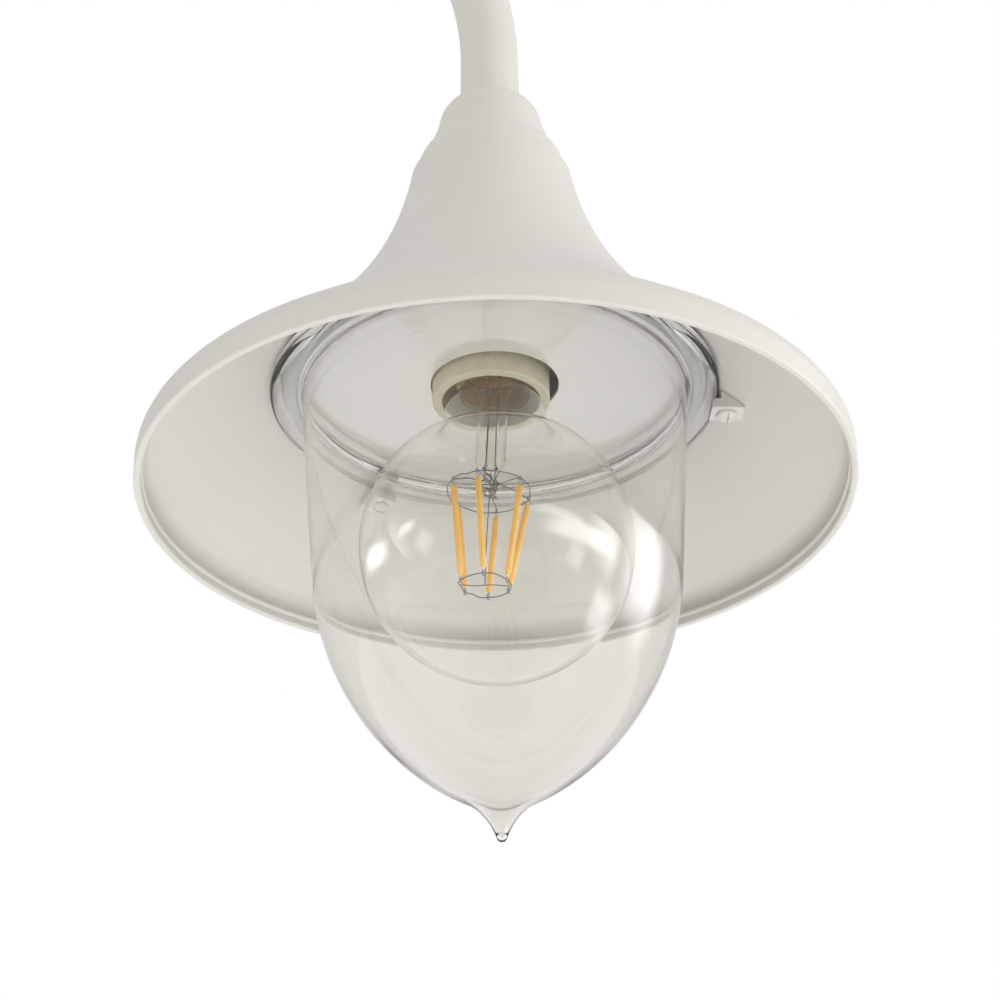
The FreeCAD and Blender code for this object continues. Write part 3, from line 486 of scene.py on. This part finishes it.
def glass_shade():
    """Blown glass with a flanged mouth and a drawn drip, hollow almost to its end."""
    wall, belly_top, drip_top, drip_bend, tip_z = 1, -32.5, -111.5, 28, -126.6
    drip = belly(drip_top)
    across, along = (drip - BELLY_R) / BELLY_BEND, (BELLY_Z - drip_top) / BELLY_BEND
    drip_r, drip_z = drip + drip_bend * across, drip_top - drip_bend * along
    tip = drip_r - math.sqrt(drip_bend ** 2 - (tip_z - drip_z) ** 2)
    cavity = drip_z + math.sqrt((drip_bend + wall) ** 2 - (drip_r - 1.2) ** 2)
    inner = BELLY_BEND - wall
    shell = [
        (67.4, 43),
        (78.45, 43, "right", 2.1),
        (78.45, FLANGE_FOOT),
        (70.5, FLANGE_FOOT, "left", 2.5),
        (68, 36.8),
        (belly(belly_top), belly_top, "right", BELLY_BEND),
        (drip, drip_top, "left", drip_bend),
        (tip, tip_z, "right", 1.9),
        (0, -128.2),
        (0, cavity - 1.9, "left", 1.6),
        (1.2, cavity, "right", drip_bend + wall),
        (BELLY_R + inner * across, BELLY_Z - inner * along, "left", inner),
        (belly(belly_top, wall), belly_top),
        (66.9, 42.4),
    ]
    bm = lathe(bmesh.new(), outline(shell, 40), 224)
    piece("glass_shade_blown", bm, "shade_glass", "post", ["glass_shade"])


glass_shade()


def glass_clip(number):
    """A wedge under the brim with a nose below the glass flange."""
    foot, toe, half_width = 35.4, brim_inside(36.4) - 0.25, 4.8
    side = [
        (76.6, foot),
        (toe, foot),
        (toe, foot + 1),
        (80, 42.95),
        (80, FLANGE_FOOT),
        (77.6, FLANGE_FOOT),
        (76.6, FLANGE_FOOT - 1),
    ]
    turn = Matrix.Rotation(math.radians(4 + 120 * number), 4, "Z")
    bm = bmesh.new()
    faces = [
        [bm.verts.new(turn @ Vector((r, across, z))) for r, z in side]
        for across in (-half_width, half_width)
    ]
    bm.faces.new(faces[0])
    bm.faces.new(reversed(faces[1]))
    for index in range(len(side)):
        after = (index + 1) % len(side)
        bm.faces.new((faces[0][after], faces[0][index], faces[1][index], faces[1][after]))
    node = f"glass_clip_{number + 1}"
    piece(f"glass_clip_wedge_{number + 1}", bm, "cream_paint", "post", [node], rounding=0.45)


for clip in range(3):
    glass_clip(clip)


def ribs(radius, angle, height):
    """Fine upright ribs on the lampholder's skirt."""
    if radius < 20 or not 39.2 < height < 64:
        return radius
    return radius - 0.22 * (0.5 + 0.5 * math.cos(96 * angle)) ** 2


# The sleeve hangs a little to the left in the plate's hole.
IN_HOLE = IN_HEAD @ Matrix.Translation((-1.3, 0, 0))
SLEEVE = 20.7

turned("holder_sleeve", [
    (17.3, 38.2),
    (17.5, 38),
    (SLEEVE - 0.3, 38),
    (SLEEVE, 38.3),
    (SLEEVE, 39.1),
    (SLEEVE, 39.6),
    (SLEEVE, 63.5),
    (SLEEVE, 64.5),
    (SLEEVE, 66),
    (17.7, 66),
    (17.7, 41),
    (17.3, 39.5),
], "holder_plastic", "post", ["holder_skirt"], IN_HOLE, around=768, swell=ribs)


# Bulb

def bulb_globe():
    """Thin globe with a flatter shoulder, a crease and a short neck that rounds into the cap."""
    globe, middle, shoulder, skin = 47.5, -20, 24, 0.25
    neck, neck_top, neck_bend = 18.1, 31, 10.7
    grip, grip_top, lean = 12.45, 51, math.radians(68)
    climb = (13.2 - middle) / globe
    level = math.sqrt(1 - climb ** 2)

    def crease(inset):
        """Where the shoulder folds into the neck."""
        reach, apart = shoulder - inset, globe - shoulder
        return apart * level + reach * math.cos(lean), middle + apart * climb + reach * math.sin(lean)

    def neck_end(inset):
        """Height at which the neck has rounded in to the cap's grip."""
        bend = neck_bend - inset
        return neck_top + math.sqrt(bend ** 2 - (grip - inset - neck + neck_bend) ** 2)

    fold = (crease(0)[0] - neck) / (1 - math.cos(lean))
    foot = crease(0)[1] + fold * math.sin(lean)
    inner = globe - skin
    turned("bulb_globe", [
        (grip, grip_top),
        (grip - skin, grip_top),
        (grip - skin, neck_end(skin), "right", neck_bend - skin),
        (neck - skin, neck_top),
        (neck - skin, foot, "left", fold + skin),
        (*crease(skin), "right", shoulder - skin),
        (inner * level, middle + inner * climb, "right", inner),
        (inner, middle, "right", inner),
        (0, middle - inner),
        (0, middle - globe, "left", globe),
        (globe, middle, "left", globe),
        (globe * level, middle + globe * climb, "left", shoulder),
        (*crease(0), "right", fold),
        (neck, foot),
        (neck, neck_top, "left", neck_bend),
        (grip, neck_end(0)),
    ], "bulb_glass", "bulb", ["bulb_envelope"], around=192, steps=36)


bulb_globe()


def thread(radius, angle, height):
    """Rolled screw thread on the cap, fading out at both ends."""
    pitch, half_depth, first, last = 3.62, 0.4, 49.5, 65.5
    fade = min(1, max(0, (height - first) / 2), max(0, (last - height) / 2))
    return radius - fade * half_depth * (1 - math.cos(math.tau * height / pitch - angle))


def bulb_cap():
    """The threaded cap, and the cement that holds the glass in it."""
    heights = [44.2 + 0.29 * step for step in range(76)]
    points = [(13, height) for height in heights] + [(7.9, 68.6), (7.5, 68.2)]
    points += [(12.6, height) for height in reversed(heights)]
    bm = lathe(bmesh.new(), [Vector(point) for point in points], 96, thread)
    piece("bulb_cap_threaded", bm, "cap_metal", "bulb", ["bulb_cap"])
    bm = bmesh.new()
    for inner, outer, bottom, top in ((12.47, 12.58, 42.2, 49.4), (10.9, 11.7, 51.2, 65)):
        lathe(bm, outline([(inner, bottom), (outer, bottom), (outer, top), (inner, top)]), 96)
    piece("capping_cement", bm, "cap_cement", "bulb")


bulb_cap()

turned("bulb_stem_glass", [
    (0, 9.2, "left", 6.5),
    (5.3, 14.5),
    (5.3, 38, "right", 22),
    (10.9, 49),
    (10.3, 49, "left", 22.6),
    (4.75, 38),
    (4.75, 14.5, "right", 6),
    (0, 9.8),
], "stem_glass", "bulb", ["bulb_stem"], IN_MOUNT, around=96)

turned("exhaust_tube", [
    (1.9, 11.2), (2.7, 11.2), (2.7, 58), (1.9, 58),
], "stem_glass", "bulb", (), IN_MOUNT, around=64)

# Radius and height of the upper and the lower wire ring.
CAGE = ((14.5, 2), (8.8, -34.6))


def cage_point(ring, angle):
    """A point on a wire ring (0 upper, 1 lower)."""
    radius, height = CAGE[ring]
    return Vector((radius * math.cos(angle), radius * math.sin(angle), height))


# Where the rods meet the upper and the lower ring: the cage was bent by hand.
ROD_TOPS = [math.radians(turn) for turn in (18, 80, 139.5, 212.5, 255, 320)]
ROD_FEET = [math.radians(turn) for turn in (23, 83, 141, 203, 268, 330)]


def filament_rods():
    """Six rods with rounded ends, and a metal tab at each end."""
    shares = (0.055, 0.065, 0.08, 0.25, 0.5, 0.75, 0.92, 0.935, 0.945)
    radii = [0.6, 0.92, 1.08, 1.1, 1.1, 1.1, 1.08, 0.92, 0.6]
    rods, ends = bmesh.new(), bmesh.new()
    for top, foot in zip(ROD_TOPS, ROD_FEET):
        upper, lower = cage_point(0, top), cage_point(1, foot)
        way = lower - upper
        wire(rods, [upper + way * share for share in shares], radii, 16)
        for first, last in ((0.02, 0.062), (0.938, 0.98)):
            wire(ends, [upper + way * share for share in (first, (first + last) / 2, last)], 0.38, 8)
    piece("filament_rods", rods, "filament_amber", "bulb", ["filaments"], IN_MOUNT, sharp=60)
    piece("filament_tabs", ends, "zinc_steel", "bulb", (), IN_MOUNT)


filament_rods()
chance = random.Random(7)


def cage_ring(name, ring, node):
    """A thin wire ring bent by hand, with a small kink at each rod."""
    points = []
    turns = ROD_FEET if ring else ROD_TOPS
    for angle, after in zip(turns, turns[1:] + [turns[0] + math.tau]):
        kink = cage_point(ring, angle)
        points.append(kink * 1.02 + Vector((0, 0, -0.02 * kink.z)))
        for share in (1, 2):
            bend = cage_point(ring, angle + (after - angle) * share / 3)
            slack = Vector((chance.uniform(-0.4, 0.4), chance.uniform(-0.4, 0.4), chance.uniform(-0.5, 0.5)))
            points.append(bend + slack)
    bm = wire(bmesh.new(), spline(points, 6, True), 0.21, 8, True)
    twist = [
        Vector((0.55 * math.cos(turn * 1.9), 0.55 * math.sin(turn * 1.9), 0.32 * (turn - 3)))
        for turn in range(7)
    ]
    for angle in turns:
        knot = [cage_point(ring, angle) + bend for bend in twist]
        wire(bm, spline(knot, 4), 0.18, 6)
    piece(name, bm, "lead_wire", "bulb", [node], IN_MOUNT)


cage_ring("upper_ring_wire", 0, "upper_wire_ring")
cage_ring("lower_ring_wire", 1, "lower_wire_ring")


def inner_wires():
    """Centre wire with its bar, the leads through the stem, and the tangle where they meet the cage."""
    run = [(0.3, 0, 10), (0.1, 0.3, 0), (-0.2, 0.1, -18), (0, 0, -34.6)]
    bar = [(-8.4, 0.4, -34.4), (-3, -0.3, -35), (2.5, 0.3, -34.2), (8.4, 0, -34.6)]
    bm = wire(bmesh.new(), spline(run, 8), 0.2, 8)
    wire(bm, spline(bar, 8), 0.18, 8)
    piece("centre_wire_run", bm, "lead_wire", "bulb", ["centre_wire"], IN_MOUNT)
    bm = bmesh.new()
    for side, thick, rod in ((-1, 0.3, 3), (1, 0.2, 0)):
        ring = cage_point(0, ROD_TOPS[rod])
        lead = [(1.5 * side, 0.4, 40), (1.5 * side, 0, 24), (1.7 * side, -0.3, 11), (2.4 * side, -0.6, 6)]
        wire(bm, spline(lead + [(ring.x * 0.6, ring.y * 0.6, 4.5), ring], 8), thick, 8)
    for _ in range(5):
        start = chance.uniform(0, math.tau)
        curl = []
        for step in range(9):
            turn = start + step * chance.uniform(0.7, 1.1)
            reach = chance.uniform(1.0, 3.4)
            height = 8.5 - step * 1.1 + chance.uniform(-0.7, 0.7)
            curl.append((reach * math.cos(turn), reach * math.sin(turn), height))
        wire(bm, spline(curl, 6), 0.19, 6)
    for rod in (1, 4, 5):
        ring = cage_point(0, ROD_TOPS[rod])
        link = [(0.8, 0.4, 5), (ring.x * 0.4, ring.y * 0.5, 3), (ring.x * 0.8, ring.y * 0.8, 3.2), ring]
        wire(bm, spline(link, 8), 0.18, 6)
    piece("lead_wire_tangle", bm, "lead_wire", "bulb", ["top_wires"], IN_MOUNT)


inner_wires()


# Post

def collar(name, node, below, above, wall, seat):
    """A collar that holds the tube above it on the end of the tube below it."""
    low_bore, high_bore = below / 2 + 0.15, above / 2 + 0.15
    skirt, sleeve, ledge, top = low_bore + 5, high_bore + 5, seat + 4, seat + 66
    turned(name, [
        (low_bore, seat - 30),
        (skirt - 0.8, seat - 30),
        (skirt, seat - 29.2),
        (skirt, ledge, "right", 62),
        (sleeve, top - 14),
        (sleeve + 1.1, top - 14),
        (sleeve + 1.5, top - 13.6),
        (sleeve + 1.5, top - 1.5),
        (sleeve, top),
        (high_bore, top),
        (high_bore, ledge),
        (above / 2 - wall, ledge),
        (above / 2 - wall, seat),
        (low_bore, seat),
    ], "cream_paint", "post", [node], IN_POST, around=96, rounding=0.3)


def post_tube(name, node, outer, wall, bottom, top):
    turned(name, [
        (outer / 2 - wall, bottom), (outer / 2, bottom), (outer / 2, top), (outer / 2 - wall, top),
    ], "cream_paint", "post", [node], IN_POST, around=96)


post_tube("lower_post", "lower_tube", LOWER_TUBE, 2.9, 12, STEP_SEAT)
post_tube("upper_post", "upper_tube", UPPER_TUBE, 2.6, STEP_SEAT + 4, TOP_SEAT)
collar("step_collar_cast", "step_collar", LOWER_TUBE, UPPER_TUBE, 2.6, STEP_SEAT)
collar("top_collar_cast", "top_collar", UPPER_TUBE, NECK_TUBE, 2.0, TOP_SEAT)

turned("base_cover_spun", [
    (88.5, 12.3),
    (91, 12.3),
    (91, 19.3),
    (87, 23.3, "right", 84),
    (33.05, 86.3),
    (33.05, 108.3),
    (30.55, 108.3),
    (30.55, 85.05, "left", 86.5),
    (86.2, 20.8),
    (88.5, 18.5),
], "cream_paint", "cover", ["base_cover"], IN_POST, around=160, steps=32, rounding=0.5)

# CAD nodes that stay as they are get their finish by the record's slots.
for part in frame["record"]["subparts"]:
    shown = nodes[part["node"]]
    shown.data.materials.clear()
    shown.data.materials.append(LOOKS[part["material_slot"]])


# Stage

def studio_floor():
    """A wide pale floor that keeps the shadow at the foot."""
    bm = bmesh.new()
    bmesh.ops.create_circle(bm, cap_ends=True, segments=96, radius=30)
    mesh = bpy.data.meshes.new("floor")
    bm.to_mesh(mesh)
    bm.free()
    floor = bpy.data.objects.new("floor", mesh)
    scene.collection.objects.link(floor)
    look = Look("floor_pale")
    look.colours(look.spread(look.noise(3, 2), 0, 1), (0.86, 0.855, 0.845), (0.88, 0.875, 0.865))
    look.fixed(Roughness=0.9)
    # Away from the foot the floor runs into the white background, through glass too.
    # In gloss it is white all over.
    reach = look.node("ShaderNodeVectorMath", operation="LENGTH")
    look.link(look.place, reach.inputs[0])
    far = look.spread(reach.outputs["Value"], 0, 1, 0.6, 4.0)
    path = look.node("ShaderNodeLightPath").outputs

    def joined(operation, one, two):
        made = look.node("ShaderNodeMath", operation=operation)
        look.link(one, made.inputs[0])
        look.link(two, made.inputs[1])
        return made.outputs["Value"]

    through = path["Is Transmission Ray"]
    seen = joined("MULTIPLY", far, joined("MAXIMUM", path["Is Camera Ray"], through))
    seen = joined("MAXIMUM", seen, joined("SUBTRACT", path["Is Glossy Ray"], through))
    white = look.node("ShaderNodeEmission")
    mix = look.node("ShaderNodeMixShader")
    look.link(seen, mix.inputs["Fac"])
    look.link(look.shader.outputs["BSDF"], mix.inputs[1])
    look.link(white.outputs["Emission"], mix.inputs[2])
    look.link(mix.outputs["Shader"], look.output.inputs["Surface"])
    look.material.cycles.emission_sampling = "NONE"
    mesh.materials.append(look.material)


def studio_world():
    """White to the camera, pale to glass and gloss, and an even soft light on everything else."""
    world = bpy.data.worlds.new("studio")
    world.use_nodes = True
    scene.world = world
    tree = world.node_tree
    tree.nodes.clear()
    path = tree.nodes.new("ShaderNodeLightPath")

    def background(colour, strength):
        made = tree.nodes.new("ShaderNodeBackground")
        made.inputs["Color"].default_value = (*colour, 1)
        made.inputs["Strength"].default_value = strength
        return made.outputs["Background"]

    def mixed(factor, one, two):
        mix = tree.nodes.new("ShaderNodeMixShader")
        tree.links.new(factor, mix.inputs["Fac"])
        tree.links.new(one, mix.inputs[1])
        tree.links.new(two, mix.inputs[2])
        return mix.outputs["Shader"]

    # A ray that has passed through glass counts as glossy too, so transmission comes after gloss.
    light = background((1.0, 0.99, 0.975), 0.75)
    light = mixed(path.outputs["Is Glossy Ray"], light, background((1.0, 0.99, 0.97), 0.62))
    light = mixed(path.outputs["Is Transmission Ray"], light, background((1.0, 0.955, 0.895), 0.80))
    light = mixed(path.outputs["Is Camera Ray"], light, background((1.0, 1.0, 1.0), 1.0))
    output = tree.nodes.new("ShaderNodeOutputWorld")
    tree.links.new(light, output.inputs["Surface"])


def softbox(name, bearing, distance, height, wide, tall, radiance,
            shows=True, lights=True, soft=0.0, beam=180):
    """An area lamp round the head; bearing 0 is the camera's side and 90 its right.

    A lamp that shows is seen in gloss. One that doesn't light is seen only in gloss and glass.
    """
    data = bpy.data.lights.new(name, "AREA")
    data.shape = "RECTANGLE"
    data.size = wide
    data.size_y = tall
    data.energy = radiance * math.pi * wide * tall
    data.spread = math.radians(beam)
    lamp = bpy.data.objects.new(name, data)
    turn = math.radians(bearing)
    lamp.location = HEAD + Vector((distance * math.sin(turn), -distance * math.cos(turn), height))
    lamp.rotation_mode = "QUATERNION"
    lamp.rotation_quaternion = (HEAD - lamp.location).to_track_quat("-Z", "Y")
    lamp.visible_camera = False
    lamp.visible_transmission = not lights
    lamp.visible_glossy = shows
    lamp.visible_diffuse = lights
    scene.collection.objects.link(lamp)
    if not soft:
        return
    # The lamp's face fades towards its edges.
    data.use_nodes = True
    tree = data.node_tree
    place = tree.nodes.new("ShaderNodeSeparateXYZ")
    tree.links.new(tree.nodes.new("ShaderNodeNewGeometry").outputs["Parametric"], place.inputs["Vector"])
    strength = None
    for axis in ("X", "Y"):
        for edge in (0, 1):
            fade = tree.nodes.new("ShaderNodeMapRange")
            fade.interpolation_type = "SMOOTHSTEP"
            fade.inputs["From Min"].default_value = edge
            fade.inputs["From Max"].default_value = edge + soft * (1 - 2 * edge)
            tree.links.new(place.outputs[axis], fade.inputs["Value"])
            product = fade.outputs["Result"]
            if strength:
                times = tree.nodes.new("ShaderNodeMath")
                times.operation = "MULTIPLY"
                tree.links.new(strength, times.inputs[0])
                tree.links.new(product, times.inputs[1])
                product = times.outputs["Value"]
            strength = product
    tree.links.new(strength, tree.nodes["Emission"].inputs["Strength"])


def camera():
    """The photograph's view: from below and in front of the head, with a long lens."""
    pitch, yaw, roll = math.radians(29.4199), math.radians(0.0863), math.radians(-0.9813)
    ahead = Vector((math.sin(yaw) * math.cos(pitch), math.cos(yaw) * math.cos(pitch), math.sin(pitch)))
    right = ahead.cross(Vector((0, 0, 1))).normalized()
    up = right.cross(ahead)
    right, up = math.cos(roll) * right + math.sin(roll) * up, math.cos(roll) * up - math.sin(roll) * right
    data = bpy.data.cameras.new("photo_view")
    data.lens = 97.2
    data.sensor_width = 36
    data.clip_start = 0.01
    data.clip_end = 200
    made = bpy.data.objects.new("photo_view", data)
    place = Matrix.Translation(HEAD + Vector((0, -0.81484, -0.46076)))
    made.matrix_world = place @ Matrix((right, up, -ahead)).transposed().to_4x4()
    scene.collection.objects.link(made)
    scene.camera = made


studio_floor()
studio_world()
# Bearing in degrees; distance, height above the hood's edge, width and height in metres; radiance.
softbox("key_right", 82, 1.7, 0.15, 0.5, 1.5, 4.4, shows=False)
softbox("fill_left", -108, 1.8, 0.0, 0.25, 1.2, 1.9, shows=False)
softbox("front_high", 10, 2.3, 0.95, 1.6, 1.2, 0.6, shows=False)
softbox("floor_bounce", 0, 0.35, -1.7, 1.6, 1.6, 0.42, shows=False, beam=100)
softbox("plate_light", 0, 0.05, -0.6, 0.12, 0.12, 0.56, shows=False, beam=26)
softbox("band_right", 99, 1.7, 0.25, 1.5, 1.4, 3.9, lights=False, soft=0.4)
softbox("strip_front_right", 50, 1.7, 0.2, 1.9, 0.34, 4.6, lights=False, soft=0.4)
softbox("panel_right", 72, 1.7, -0.5, 0.7, 0.7, 3.4, lights=False, soft=0.35)
softbox("strip_left", -76, 1.7, 0.2, 0.75, 0.32, 7.0, lights=False, soft=0.45)
camera()
scene.view_settings.view_transform = "Standard"
# Light has to find its way through several walls of glass.
scene.cycles.max_bounces = 32
scene.cycles.transmission_bounces = 32
scene.cycles.transparent_max_bounces = 48
